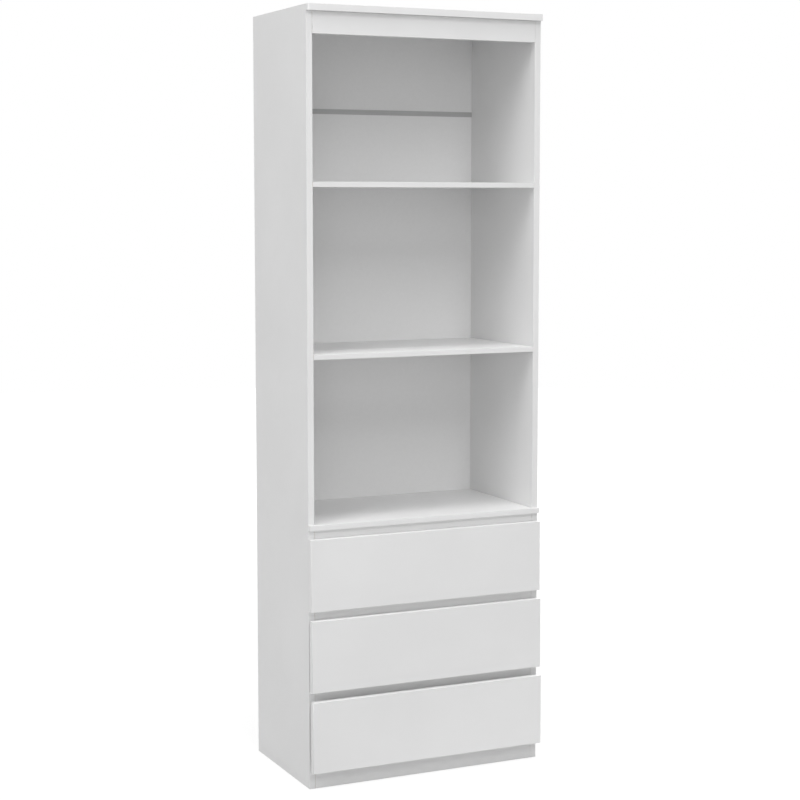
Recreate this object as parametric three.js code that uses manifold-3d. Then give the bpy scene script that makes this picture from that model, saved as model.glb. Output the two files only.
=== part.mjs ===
// White bookcase: three open bays over three drawers, all of melamine-faced board.
// Millimetres, +Z up. The front faces -Y, and +X is to the right of someone who stands before it.
// The origin is on the floor, under the middle of the whole object as it stands.

import * as THREE from 'three';
import { mergeVertices } from 'three/addons/utils/BufferGeometryUtils.js';
import Module from 'manifold-3d';

const wasm = await Module();
wasm.setup();

// Overall sizes
const width = 600;
const height = 1800;
const sideDepth = 335;

// Boards
const sideThickness = 15;
const topThickness = 15;
const shelfThickness = 12;
const deckThickness = 12;
const bottomThickness = 12;
const railThickness = 15;
const seam = 0.3; // air left between two boards that are pulled together
const edgeEase = 0.4; // rounding of an edge band
const overrun = 1; // how far every cut runs past the face that it opens

// Top panel
const topLip = 12; // the top panel's front lip, proud of the side panels
const topCornerRadius = 5;

// Rails across the front
const fasciaHeight = 50;
const plinthHeight = 42;
const railOverlap = 10; // hidden height of a rail behind each drawer front next to it

// Open bays
const bayCount = 3;
const deckLip = 10; // the deck's front lip, proud of the side panels

// Back
const backThickness = 3;
const backInset = 5; // from the rear edges of the boards to the back
const grooveDepth = 6;
const grooveSlack = 0.2;
const upperBackDrop = 200; // from the top panel down to the joint that shows in the top bay
const backFloorGap = 10;
const buttGap = 1; // between two back panels that meet behind the deck
const stripHeight = 12;
const stripWall = 0.8;
const stripWeb = 1.2;

// Drawers, from the top one down
const drawerNames = ['upper', 'middle', 'lower'];
const openedBy = [0, 5, 10]; // how far each one is left standing open
const frontHeight = 169;
const frontThickness = 15;
const frontEase = 1.2;
const gripGap = 20; // the finger gap over every front
const closedGap = 0.3; // front to side panel when a drawer is shut

// Drawer boxes
const boxBoard = 12;
const boxTopDrop = 22; // from the top of the front down to the box
const boxRearGap = 27; // from the box to the bookcase's back when a drawer is shut
const boxClearance = 12.5; // from a side panel to the box, where the runners go
const boxBottomThickness = 3;
const boxBottomLift = 8;

// Roller runners: a channel on each side panel, and a rider under each side of a drawer box
const sheet = 1.2;
const bendRadius = 0.6;
const runnerSetback = 2; // from the front edge of a side panel to its channel
const channelLift = 4; // over the bottom panel, or as high over a rail
const channelCap = 8;
const liftPlay = 1.3; // over the drawer roller, under the channel's cap
const footClearance = 0.8; // from the channel's foot to the rider's web
const capClearance = 2; // behind the cabinet roller, before the cap begins
const riderLift = 4.5; // of the rider's foot over the channel's
const riderFootInset = 1.5; // from the rider's foot to the inside of the box
const wingLift = 2; // of the cabinet roller's top over the channel's cap
const wingClearance = 2.8; // from the rider's wing to the side panel
const rollerRadius = 10;
const rollerRun = 0.3; // between a roller and what it runs on
const rollerPlay = 0.4; // between a roller and the web behind it
const rollerEdge = 1;
const rollerRecess = 1.2;
const rollerRim = 2;
const hubWall = 1.8;
const axleRadius = 2.5;
const axleRun = 0.3; // between an axle and its roller's bore
const axleHead = 0.9;
const axleHeadCover = 1.4; // how far the head laps over the roller's bore
const axleHeadClearance = 0.9; // from the head to the other runner's web
const cabinetRollerInset = 25; // from the channel's front end
const riderRollerInset = 12; // from the rider's rear end
const screwRadius = 2.1;
const screwSlot = 5; // how far a slot's two ends lie apart
const screwPlaceShares = [0.2, 0.55, 0.92];
const footHoleRadius = 1.8;

// Dowels
const dowelRadius = 4;
const dowelReach = 10;
const dowelSlack = 0.3;
const dowelInset = 50; // from a deep board's front and rear edges
const dowelHeightShares = [0.28, 0.72];

// Pockets for the cam locks that pull the boards together
const camRadius = 7.5;
const camDepth = 9;
const camFromEnd = 24; // from the end of a board to the middle of its pocket
const camFromDowel = 32;
const camHeightShares = [0.3, 0.78]; // up the side of a drawer box

// Facets
const easeSteps = 2;
const cornerSteps = 4;
const rollerSides = 18;
const axleSides = 12;
const dowelSides = 8;
const screwSides = 8;
const camSides = 12;

// Places that follow from the sizes
const drawerCount = drawerNames.length;
const inner = width / 2 - sideThickness;
const mostOpen = Math.max(...openedBy);
const reachForward = closedGap + mostOpen + frontThickness;
const rear = (sideDepth + reachForward) / 2;
const front = rear - sideDepth;
const backRear = rear - backInset;
const backFront = backRear - backThickness;
const boardRear = backFront - seam;
const topUnder = height - topThickness;
const deckUnder = plinthHeight + drawerCount * (frontHeight + gripGap);
const deckTop = deckUnder + deckThickness;
const shelfCount = bayCount - 1;
const bayHeight = (topUnder - deckTop - shelfCount * shelfThickness) / bayCount;
const frontBottoms = drawerNames.map((name, i) => deckUnder - (i + 1) * (frontHeight + gripGap));
const stripTop = topUnder - upperBackDrop;
const backWidth = 2 * (inner + grooveDepth - seam);
const channelLevel = bottomThickness + channelLift;
const boxLift = channelLevel + riderLift + sheet + seam;
const boxTop = frontHeight - boxTopDrop;
const boxLength = backFront - front - boxRearGap;
const runnerLength = boxLength;
const riderWeb = boxClearance - seam - sheet;
const rollerWidth = riderWeb - axleHeadClearance - axleHead - seam - rollerPlay - sheet - seam;
const boreRadius = axleRadius + axleRun;
const channelHeight = sheet + rollerRun + 2 * rollerRadius + liftPlay + sheet;
const cabinetRollerHeight = channelHeight + wingLift - rollerRadius;
const cabinetRollerY = cabinetRollerInset;
const riderRollerHeight = sheet + rollerRun + rollerRadius;
const riderRollerY = runnerLength - riderRollerInset;

function finish(color, roughness, metalness) {
  return new THREE.MeshStandardMaterial({ color, roughness, metalness });
}

const melamine = () => finish(0xe7e7e6, 0.45, 0);
const hardboard = () => finish(0xe2e2e1, 0.6, 0);
const coatedSteel = () => finish(0xe2e2e1, 0.35, 0.1);
const nylon = () => finish(0xe8e8e5, 0.45, 0);
const jointPlastic = () => finish(0xb3b3b3, 0.48, 0);

// Two places in rising order.
const span = (a, b) => [Math.min(a, b), Math.max(a, b)];

// A closed solid from a geometry, for cutting and joining.
function solidFrom(geometry) {
  const bare = geometry.clone();
  bare.deleteAttribute('normal');
  bare.deleteAttribute('uv');
  const merged = mergeVertices(bare);
  const vertProperties = new Float32Array(merged.attributes.position.array);
  const triVerts = new Uint32Array(merged.index.array);
  return new wasm.Manifold(new wasm.Mesh({ numProp: 3, vertProperties, triVerts }));
}

function geometryFrom(solid) {
  const result = solid.getMesh();
  const geometry = new THREE.BufferGeometry();
  geometry.setAttribute('position', new THREE.BufferAttribute(result.vertProperties, 3));
  geometry.setIndex(new THREE.BufferAttribute(result.triVerts, 1));
  geometry.computeVertexNormals();
  return geometry;
}

// A body with pieces joined to it and then hollows cut from it, each given as a geometry.
function worked(body, joined, cut) {
  let solid = solidFrom(body);
  for (const piece of joined) {
    solid = solid.add(solidFrom(piece));
  }
  for (const hollow of cut) {
    solid = solid.subtract(solidFrom(hollow));
  }
  return geometryFrom(solid);
}

function part(name, geometry, material) {
  const mesh = new THREE.Mesh(geometry, material);
  mesh.name = name;
  return mesh;
}

// A closed outline from corners given as [x, y, radius].
function outline(corners) {
  const shape = new THREE.Shape();
  corners.forEach(([x, y, radius], i) => {
    const [beforeX, beforeY] = corners.at(i - 1);
    const [afterX, afterY] = corners[(i + 1) % corners.length];
    const corner = new THREE.Vector2(x, y);
    const towardBefore = new THREE.Vector2(beforeX - x, beforeY - y).setLength(radius);
    const towardAfter = new THREE.Vector2(afterX - x, afterY - y).setLength(radius);
    const enter = corner.clone().add(towardBefore);
    const leave = corner.clone().add(towardAfter);
    if (i === 0) {
      shape.moveTo(enter.x, enter.y);
    } else {
      shape.lineTo(enter.x, enter.y);
    }
    if (radius > 0) {
      shape.quadraticCurveTo(x, y, leave.x, leave.y);
    }
  });
  shape.closePath();
  return shape;
}

function rectangle([x0, x1], [y0, y1]) {
  return outline([[x0, y0, 0], [x1, y0, 0], [x1, y1, 0], [x0, y1, 0]]);
}

// An outline given some thickness, with both faces' edges eased.
function slab(shape, thickness, ease) {
  const geometry = new THREE.ExtrudeGeometry(shape, {
    depth: thickness - 2 * ease,
    bevelEnabled: ease > 0,
    bevelThickness: ease,
    bevelSize: ease,
    bevelOffset: -ease,
    bevelSegments: easeSteps,
    curveSegments: cornerSteps,
  });
  return geometry.translate(0, 0, ease);
}

// The slab laid with its thickness up from the level z.
function lyingBoard(shape, [z0, z1], ease) {
  return slab(shape, z1 - z0, ease).translate(0, 0, z0);
}

// The slab stood across the object: its outline is in X and Z, its thickness in Y.
function crossBoard(shape, [y0, y1], ease) {
  return slab(shape, y1 - y0, ease).rotateX(Math.PI / 2).translate(0, y1, 0);
}

// The slab stood along the object: its outline is in Y and Z, its thickness in X.
function sideBoard(shape, [x0, x1], ease) {
  return slab(shape, x1 - x0, ease).rotateX(Math.PI / 2).rotateZ(Math.PI / 2).translate(x0, 0, 0);
}

// A square-edged block, for cuts.
function block([x0, x1], [y0, y1], [z0, z1]) {
  return lyingBoard(rectangle([x0, x1], [y0, y1]), [z0, z1], 0);
}

// A round bar along X from x0 to x1.
function barAlongX(radius, [x0, x1], y, z, sides) {
  const bar = new THREE.CylinderGeometry(radius, radius, x1 - x0, sides);
  return bar.rotateZ(Math.PI / 2).translate((x0 + x1) / 2, y, z);
}

// A round bar along Y, or up along Z, in the same way.
function barAlongY(radius, x, [y0, y1], z, sides) {
  const bar = new THREE.CylinderGeometry(radius, radius, y1 - y0, sides);
  return bar.translate(x, (y0 + y1) / 2, z);
}

function barAlongZ(radius, x, y, [z0, z1], sides) {
  const bar = new THREE.CylinderGeometry(radius, radius, z1 - z0, sides);
  return bar.rotateX(Math.PI / 2).translate(x, y, (z0 + z1) / 2);
}

// Dowel places of the boards that run between the two side panels, as [y, z].
function deepBoardDowels([z0, z1]) {
  return [front + dowelInset, boardRear - dowelInset].map((y) => [y, (z0 + z1) / 2]);
}

function railDowels([y0, y1], [z0, z1]) {
  return dowelHeightShares.map((share) => [(y0 + y1) / 2, z0 + share * (z1 - z0)]);
}

// The dowels of one board, glued into both of its ends and standing out of them.
function dowels(places) {
  return places.flatMap(([y, z]) => [-1, 1].map((side) => {
    const length = span(side * (inner + dowelReach), side * (inner - dowelReach));
    return barAlongX(dowelRadius, length, y, z, dowelSides);
  }));
}

const camX = inner - seam - camFromEnd;

// The cam pockets of a lying board, sunk into its underside beside the dowels.
function underPockets([z0]) {
  const camY = [front + dowelInset + camFromDowel, boardRear - dowelInset - camFromDowel];
  const level = [z0 - overrun, z0 + camDepth];
  return camY.flatMap((y) => [-camX, camX].map((x) => barAlongZ(camRadius, x, y, level, camSides)));
}

// The two cam pockets of a rail, sunk into the face at y that looks inwards.
function railPockets(y, inwards, [z0, z1]) {
  const depth = span(y + inwards * overrun, y - inwards * camDepth);
  return [-camX, camX].map((x) => barAlongY(camRadius, x, depth, (z0 + z1) / 2, camSides));
}

// Levels of every board between the side panels.
const shelfLevels = Array.from({ length: shelfCount }, (_, i) => {
  const under = topUnder - (i + 1) * bayHeight - i * shelfThickness - shelfThickness;
  return [under, under + shelfThickness];
});
const topLevel = [topUnder, height];
const deckLevel = [deckUnder, deckTop];
const bottomLevel = [plinthHeight, plinthHeight + bottomThickness];
const fasciaLevel = [topUnder - fasciaHeight, topUnder - seam];
const plinthLevel = [0, plinthHeight - seam];
const railDepth = [front, front + railThickness];
const rearRailDepth = [boardRear - railThickness, boardRear];
const gapRailLevels = frontBottoms.map((bottom, i) => {
  const under = bottom + frontHeight - railOverlap;
  const top = i === 0 ? deckUnder - seam : bottom + frontHeight + gripGap + railOverlap;
  return [under, top];
});

const dowelPlaces = {
  shelves: shelfLevels.map((level) => deepBoardDowels(level)),
  top: deepBoardDowels(topLevel),
  deck: deepBoardDowels(deckLevel),
  bottom: deepBoardDowels(bottomLevel),
  fascia: railDowels(railDepth, fasciaLevel),
  gapRails: gapRailLevels.map((level) => railDowels(railDepth, level)),
  frontPlinth: railDowels(railDepth, plinthLevel),
  rearPlinth: railDowels(rearRailDepth, plinthLevel),
};

const betweenSides = [-inner + seam, inner - seam];

function shelf(i) {
  const plan = rectangle(betweenSides, [front, boardRear]);
  const board = lyingBoard(plan, shelfLevels[i], edgeEase);
  return worked(board, dowels(dowelPlaces.shelves[i]), underPockets(shelfLevels[i]));
}

// The plan of a board between the sides whose front lip crosses in front of both side panels.
function lippedPlan(lip, cornerRadius, boardEnd) {
  const lipRear = front - seam;
  const half = width / 2;
  return outline([
    [-half, front - lip, cornerRadius],
    [half, front - lip, cornerRadius],
    [half, lipRear, 0],
    [inner - seam, lipRear, 0],
    [inner - seam, boardEnd, 0],
    [-inner + seam, boardEnd, 0],
    [-inner + seam, lipRear, 0],
    [-half, lipRear, 0],
  ]);
}

// The deck closes the drawer section.
function deckPanel() {
  const board = lyingBoard(lippedPlan(deckLip, 0, boardRear), deckLevel, edgeEase);
  return worked(board, dowels(dowelPlaces.deck), underPockets(deckLevel));
}

function bottomPanel() {
  const plan = rectangle(betweenSides, [front, boardRear]);
  const board = lyingBoard(plan, bottomLevel, edgeEase);
  return worked(board, dowels(dowelPlaces.bottom), underPockets(bottomLevel));
}

// A rail across the front. Its pockets are in its rear face.
function frontRail(level, places) {
  const board = crossBoard(rectangle(betweenSides, level), railDepth, edgeEase);
  return worked(board, dowels(places), railPockets(railDepth[1], 1, level));
}

function rearPlinth() {
  const board = crossBoard(rectangle(betweenSides, plinthLevel), rearRailDepth, edgeEase);
  return worked(board, dowels(dowelPlaces.rearPlinth), railPockets(rearRailDepth[0], -1, plinthLevel));
}

// The groove that holds the back, cut into a side panel's inner face.
const grooveY = [backFront - grooveSlack, backRear + grooveSlack];

function sidePanel(side) {
  const face = side * inner;
  const thickness = span(side * width / 2, face);
  const profile = rectangle([front, rear], [0, height]);
  const within = (depth) => span(face - side * overrun, face + side * depth);
  const groove = block(within(grooveDepth), grooveY, [-overrun, topUnder + grooveDepth]);
  const bores = Object.values(dowelPlaces).flat(Infinity);
  const boreDepth = dowelReach + dowelSlack;
  const cuts = [groove];
  for (let i = 0; i < bores.length; i += 2) {
    cuts.push(barAlongX(dowelRadius + dowelSlack, within(boreDepth), bores[i], bores[i + 1], dowelSides));
  }
  return worked(sideBoard(profile, thickness, edgeEase), [], cuts);
}

function topPanel() {
  const board = lyingBoard(lippedPlan(topLip, topCornerRadius, rear), topLevel, edgeEase);
  const grooveHalf = inner + overrun;
  const groove = block([-grooveHalf, grooveHalf], grooveY, [topUnder - overrun, topUnder + grooveDepth]);
  return worked(board, dowels(dowelPlaces.top), [groove, ...underPockets(topLevel)]);
}

function backPanel(level) {
  const half = backWidth / 2;
  return crossBoard(rectangle([-half, half], level), [backFront, backRear], 0);
}

// The plastic strip of H section that joins two back panels edge to edge.
function backStrip() {
  const near = backFront - grooveSlack;
  const far = backRear + grooveSlack;
  const level = [stripTop - stripHeight, stripTop];
  const webHalf = stripWeb / 2;
  const middle = stripTop - stripHeight / 2;
  const body = crossBoard(rectangle(betweenSides, level), [near - stripWall, far + stripWall], 0);
  const slots = [
    block([-width, width], [near, far], [level[0] - overrun, middle - webHalf]),
    block([-width, width], [near, far], [middle + webHalf, level[1] + overrun]),
  ];
  return worked(body, [], slots);
}

// Drawer pieces, in the drawer's own frame: y is zero at the back of its front, z at the front's foot.
const boxOuter = inner - boxClearance;
const boxInner = boxOuter - boxBoard;
const boxRear = seam + boxLength;
const boxBottomUnder = boxLift + boxBottomLift;
const boxBottomTop = boxBottomUnder + boxBottomThickness;
const boxGrooveZ = [boxBottomUnder - grooveSlack, boxBottomTop + grooveSlack];
const boxBottomHalf = boxInner + grooveDepth - seam;

function drawerFront() {
  const half = width / 2;
  const face = crossBoard(rectangle([-half, half], [0, frontHeight]), [-frontThickness, 0], frontEase);
  const grooveHalf = boxBottomHalf + grooveSlack;
  const groove = block([-grooveHalf, grooveHalf], [-grooveDepth, overrun], boxGrooveZ);
  return worked(face, [], [groove]);
}

function drawerSide(side) {
  const thickness = span(side * boxOuter, side * boxInner);
  const profile = rectangle([seam, boxRear], [boxLift, boxTop]);
  const grooveX = span(side * (boxInner - overrun), side * (boxInner + grooveDepth));
  const groove = block(grooveX, [-overrun, boxRear + overrun], boxGrooveZ);
  const pocketX = span(side * (boxInner - overrun), side * (boxInner + camDepth));
  const pockets = camHeightShares.map((share) => {
    return barAlongX(camRadius, pocketX, seam + camFromEnd, boxLift + share * (boxTop - boxLift), camSides);
  });
  return worked(sideBoard(profile, thickness, edgeEase), [], [groove, ...pockets]);
}

function drawerBack() {
  const breadth = [-boxInner + seam, boxInner - seam];
  const level = [boxBottomTop + seam, boxTop];
  return crossBoard(rectangle(breadth, level), [boxRear - boxBoard, boxRear], edgeEase);
}

function drawerBottom() {
  const plan = rectangle([-boxBottomHalf, boxBottomHalf], [seam - grooveDepth, boxRear]);
  return lyingBoard(plan, [boxBottomUnder, boxBottomTop], 0);
}

// Both runner sections are folded from sheet. u is measured from the side panel inwards.
const outerBend = bendRadius + sheet;

function runnerSection(corners, side) {
  return outline(corners.map(([u, z, radius]) => [side * (inner - u), z, radius]));
}

function channelSection(side) {
  const footEnd = riderWeb - footClearance;
  return runnerSection([
    [footEnd, 0, 0],
    [seam, 0, outerBend],
    [seam, channelHeight, outerBend],
    [seam + channelCap, channelHeight, 0],
    [seam + channelCap, channelHeight - sheet, 0],
    [seam + sheet, channelHeight - sheet, bendRadius],
    [seam + sheet, sheet, bendRadius],
    [footEnd, sheet, 0],
  ], side);
}

const wingUnder = cabinetRollerHeight + rollerRadius + rollerRun;

function riderSection(side) {
  const footEnd = boxClearance + boxBoard - riderFootInset;
  return runnerSection([
    [footEnd, riderLift, 0],
    [riderWeb, riderLift, outerBend],
    [riderWeb, wingUnder, bendRadius],
    [wingClearance, wingUnder, 0],
    [wingClearance, wingUnder + sheet, 0],
    [riderWeb + sheet, wingUnder + sheet, outerBend],
    [riderWeb + sheet, riderLift + sheet, bendRadius],
    [footEnd, riderLift + sheet, 0],
  ], side);
}

// A riveted axle with its head, along X from the middle of the sheet at u.
function axle(side, u, direction, y, z) {
  const shank = sheet / 2 + rollerPlay + rollerWidth + seam;
  const headRadius = boreRadius + axleHeadCover;
  const profile = [
    [0, 0],
    [axleRadius, 0],
    [axleRadius, shank],
    [headRadius, shank],
    [headRadius, shank + axleHead],
    [0, shank + axleHead],
  ].map(([radius, along]) => new THREE.Vector2(radius, along));
  const turned = new THREE.LatheGeometry(profile, axleSides);
  const quarter = side * direction * Math.PI / 2;
  return turned.rotateZ(quarter).translate(side * (inner - u), y, z);
}

function roller() {
  const half = rollerWidth / 2;
  const rimInner = rollerRadius - rollerRim;
  const hubRadius = boreRadius + hubWall;
  const profile = [
    [boreRadius, -half],
    [rollerRadius - rollerEdge, -half],
    [rollerRadius, rollerEdge - half],
    [rollerRadius, half - rollerEdge],
    [rollerRadius - rollerEdge, half],
    [rimInner, half],
    [rimInner, half - rollerRecess],
    [hubRadius, half - rollerRecess],
    [hubRadius, half],
    [boreRadius, half],
    [boreRadius, -half],
  ].map(([radius, along]) => new THREE.Vector2(radius, along));
  return new THREE.LatheGeometry(profile, rollerSides);
}

// An upright slot through a channel's web, for a screw into the side panel.
function webSlot(side, y) {
  const across = span(side * (inner + overrun), side * (inner - seam - sheet - overrun));
  const middle = channelHeight / 2;
  const ends = [-screwSlot / 2, screwSlot / 2];
  const rounds = ends.map((rise) => barAlongX(screwRadius, across, y, middle + rise, screwSides));
  const waist = block(across, [y - screwRadius, y + screwRadius], [middle + ends[0], middle + ends[1]]);
  return [...rounds, waist];
}

function cabinetRunner(side) {
  const strip = crossBoard(channelSection(side), [0, runnerLength], 0);
  const pin = axle(side, seam + sheet / 2, 1, cabinetRollerY, cabinetRollerHeight);
  const capX = span(side * (inner - seam - sheet), side * (inner - boxClearance));
  const capY = [-overrun, cabinetRollerY + rollerRadius + capClearance];
  const noCap = block(capX, capY, [channelHeight - outerBend, channelHeight + overrun]);
  const slots = screwPlaceShares.flatMap((share) => webSlot(side, share * runnerLength));
  return worked(worked(strip, [], [noCap, ...slots]), [pin], []);
}

function drawerRunner(side) {
  const strip = crossBoard(riderSection(side), [0, runnerLength], 0);
  const pin = axle(side, riderWeb + sheet / 2, -1, riderRollerY, riderRollerHeight);
  const holeX = side * (inner - boxClearance - boxBoard / 2);
  const through = [riderLift - overrun, riderLift + sheet + overrun];
  const holes = screwPlaceShares.map((share) => {
    return barAlongZ(footHoleRadius, holeX, share * runnerLength, through, screwSides);
  });
  return worked(strip, [pin], holes);
}

// A roller on its axle. Its recessed face looks towards the axle's head.
function placedRoller(name, side, u, direction, y, z) {
  const mesh = part(name, roller(), nylon());
  mesh.rotation.z = side * direction * Math.PI / 2;
  mesh.position.set(side * (inner - u), y, z);
  return mesh;
}

const cabinetRollerMiddle = seam + sheet + rollerPlay + rollerWidth / 2;
const riderRollerMiddle = riderWeb - rollerPlay - rollerWidth / 2;

const bookcase = new THREE.Group();

function addCarcass() {
  const carcass = new THREE.Group();
  carcass.add(part('left_side_panel', sidePanel(-1), melamine()));
  carcass.add(part('right_side_panel', sidePanel(1), melamine()));
  carcass.add(part('top_panel', topPanel(), melamine()));
  carcass.add(part('top_fascia', frontRail(fasciaLevel, dowelPlaces.fascia), melamine()));
  ['upper_shelf', 'lower_shelf'].forEach((name, i) => carcass.add(part(name, shelf(i), melamine())));
  carcass.add(part('deck_panel', deckPanel(), melamine()));
  carcass.add(part('bottom_panel', bottomPanel(), melamine()));
  carcass.add(part('front_plinth', frontRail(plinthLevel, dowelPlaces.frontPlinth), melamine()));
  carcass.add(part('rear_plinth', rearPlinth(), melamine()));
  gapRailLevels.forEach((level, i) => {
    const gapRail = frontRail(level, dowelPlaces.gapRails[i]);
    carcass.add(part(`${drawerNames[i]}_gap_rail`, gapRail, melamine()));
  });
  bookcase.add(carcass);
}

function addBack() {
  const stripMiddle = stripTop - stripHeight / 2;
  const stripEdge = stripWeb / 2 + seam;
  const deckMiddle = (deckUnder + deckTop) / 2;
  const upper = [stripMiddle + stripEdge, topUnder + grooveDepth - seam];
  const middle = [deckMiddle + buttGap / 2, stripMiddle - stripEdge];
  const lower = [backFloorGap, deckMiddle - buttGap / 2];
  bookcase.add(part('upper_back_panel', backPanel(upper), hardboard()));
  bookcase.add(part('middle_back_panel', backPanel(middle), hardboard()));
  bookcase.add(part('lower_back_panel', backPanel(lower), hardboard()));
  bookcase.add(part('back_joint_strip', backStrip(), jointPlastic()));
}

// The runners that stay in the carcass, beside one drawer.
function addCabinetRunners(name, i) {
  const level = new THREE.Group();
  level.position.set(0, front + runnerSetback, frontBottoms[i] + channelLevel);
  [['left', -1], ['right', 1]].forEach(([hand, side]) => {
    level.add(part(`${name}_${hand}_cabinet_runner`, cabinetRunner(side), coatedSteel()));
    level.add(placedRoller(`${name}_${hand}_cabinet_roller`, side, cabinetRollerMiddle, 1,
      cabinetRollerY, cabinetRollerHeight));
  });
  bookcase.add(level);
}

function addDrawer(name, i) {
  const drawer = new THREE.Group();
  drawer.position.set(0, front - closedGap - openedBy[i], frontBottoms[i]);
  drawer.add(part(`${name}_drawer_front`, drawerFront(), melamine()));
  drawer.add(part(`${name}_drawer_back`, drawerBack(), melamine()));
  drawer.add(part(`${name}_drawer_bottom`, drawerBottom(), hardboard()));
  const riders = new THREE.Group();
  riders.position.set(0, 2 * seam, channelLevel);
  [['left', -1], ['right', 1]].forEach(([hand, side]) => {
    drawer.add(part(`${name}_drawer_${hand}_side`, drawerSide(side), melamine()));
    riders.add(part(`${name}_${hand}_drawer_runner`, drawerRunner(side), coatedSteel()));
    riders.add(placedRoller(`${name}_${hand}_drawer_roller`, side, riderRollerMiddle, -1,
      riderRollerY, riderRollerHeight));
  });
  drawer.add(riders);
  bookcase.add(drawer);
}

addCarcass();
addBack();
drawerNames.forEach((name, i) => {
  addCabinetRunners(name, i);
  addDrawer(name, i);
});

export default bookcase;
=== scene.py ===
# %% [markdown]
# # A white bookcase with three drawers
# The construction is already done. Every board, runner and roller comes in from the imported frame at
# its real size and stays where it is. Modelling them again from a drawing would work too, but then a
# size could differ. What is left is the looks: the finish of each board face and edge, the small
# fasteners that a bench fitter would add, the light and the camera.
# One Blender unit is one metre, +Z is up, and the front of the bookcase faces -Y.

import math

import bmesh
import bpy
from mathutils import Matrix, Vector


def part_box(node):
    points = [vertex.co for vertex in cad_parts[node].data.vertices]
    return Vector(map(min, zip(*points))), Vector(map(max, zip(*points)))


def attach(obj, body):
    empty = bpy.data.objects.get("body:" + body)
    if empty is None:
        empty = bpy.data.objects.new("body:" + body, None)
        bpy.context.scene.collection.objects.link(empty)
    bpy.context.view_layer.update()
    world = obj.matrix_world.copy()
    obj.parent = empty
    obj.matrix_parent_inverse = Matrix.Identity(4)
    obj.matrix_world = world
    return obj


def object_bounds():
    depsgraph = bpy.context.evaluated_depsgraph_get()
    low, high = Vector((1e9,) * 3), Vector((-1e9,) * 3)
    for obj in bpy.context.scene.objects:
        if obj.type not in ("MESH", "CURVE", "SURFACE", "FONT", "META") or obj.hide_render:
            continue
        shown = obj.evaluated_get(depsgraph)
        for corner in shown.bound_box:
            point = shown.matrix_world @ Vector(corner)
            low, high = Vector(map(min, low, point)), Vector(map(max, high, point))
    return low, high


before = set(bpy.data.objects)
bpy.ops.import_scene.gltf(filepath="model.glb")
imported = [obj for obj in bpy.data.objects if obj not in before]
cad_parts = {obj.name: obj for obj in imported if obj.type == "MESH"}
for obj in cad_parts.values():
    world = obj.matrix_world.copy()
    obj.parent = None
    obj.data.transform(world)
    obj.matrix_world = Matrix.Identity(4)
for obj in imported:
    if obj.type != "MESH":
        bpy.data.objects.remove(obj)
cad_low, cad_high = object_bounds()
mm = 0.001
print("pieces from the frame:", len(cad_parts))
print("size in mm:", [round(side / mm, 1) for side in cad_high - cad_low])

# %% [markdown]
# ## Tones and light
# A colour in a shader is a share of the light that the surface sends back, and the eye reads that
# share as a much lighter tone. The shares could be typed in as they are. Whites are easier to judge
# as tones, though, so the colours here are written as tones from 0 to 1 and turned into light once,
# in one place.

# %% From tone to light
def light_of(tone):
    """The share of light that a surface of that tone sends back, by the curve that screens use."""
    return ((tone + 0.055) / 1.055) ** 2.4


def colour_of(tones):
    """Red, green and blue for a shader, and a last 1 because nothing here is see-through."""
    return (*[light_of(tone) for tone in tones], 1.0)


def grey(tone):
    return (tone, tone, tone)


for tone in (0.5, 0.7, 0.9):
    print("a tone of", tone, "sends back", round(light_of(tone), 2), "of the light")

# %% [markdown]
# ## How a finish is put together
# Board, sheet steel and plastic all get their look from the same few things: a base tone that drifts
# a little, a gloss that isn't the same everywhere, and a surface that isn't quite flat. Painting
# pictures for them would be one way. Here each finish is a recipe of nodes instead, so that it holds
# up close and from across a room. The texture lies in each object's own place, so a drawer carries
# its grain along when it slides. A small class keeps the recipes short: it holds the node tree, adds
# and joins nodes, and sets the sockets of the surface shader.

# %% A finish under construction
class Finish:
    """A material with its nodes, its surface shader and the place where its texture lies."""

    def __init__(self, name):
        self.material = bpy.data.materials.new(name)
        self.material.use_nodes = True
        self.tree = self.material.node_tree
        self.shader = self.tree.nodes["Principled BSDF"]
        self.place = self.add("ShaderNodeTexCoord").outputs["Object"]

    def add(self, kind):
        return self.tree.nodes.new(kind)

    def join(self, output, entry):
        self.tree.links.new(output, entry)

    def set(self, **values):
        """Sets the shader's own sockets. Underscores stand for the spaces in a socket's name."""
        for name, value in values.items():
            entry = self.shader.inputs[name.replace("_", " ")]
            if isinstance(value, bpy.types.NodeSocket):
                self.join(value, entry)
            else:
                entry.default_value = value
        return self.material


# %% [markdown]
# ## Soft noise
# Real surfaces vary in soft spots, because paper, powder and fibres never lie evenly. A pattern that
# repeats would show its joints, and a noise texture never repeats. Its scale counts spots per metre,
# so the helper takes their real size and turns it over. More detail adds smaller spots inside the
# large ones: fibres need it, moulded pits don't.

# %% Noise by its real size
def grain(finish, size, detail=2, place=None):
    """Soft noise whose spots are about size metres across."""
    noise = finish.add("ShaderNodeTexNoise")
    noise.inputs["Scale"].default_value = 1 / size
    noise.inputs["Detail"].default_value = detail
    finish.join(place or finish.place, noise.inputs["Vector"])
    return noise.outputs["Fac"]


print("spots of a millimetre need a scale of", round(1 / mm))

# %% [markdown]
# ## What the noise drives
# Three helpers lead the noise to where it works: a plain number for the gloss, a colour for the tone
# and a relief for the surface. The number uses the middle of the range, because noise seldom goes
# further out. The relief only changes how light falls. Moving the mesh would be truer, but pits a
# fiftieth of a millimetre deep would need millions of faces, and nobody could see the difference.

# %% Number, tone and relief
noise_low = 0.35
noise_high = 0.65


def ranged(finish, value, low, high, start=noise_low, stop=noise_high):
    """A number from low to high, as the value goes from start to stop."""
    node = finish.add("ShaderNodeMapRange")
    limits = {"From Min": start, "From Max": stop, "To Min": low, "To Max": high}
    for entry, number in limits.items():
        node.inputs[entry].default_value = number
    finish.join(value, node.inputs["Value"])
    return node.outputs["Result"]


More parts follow.
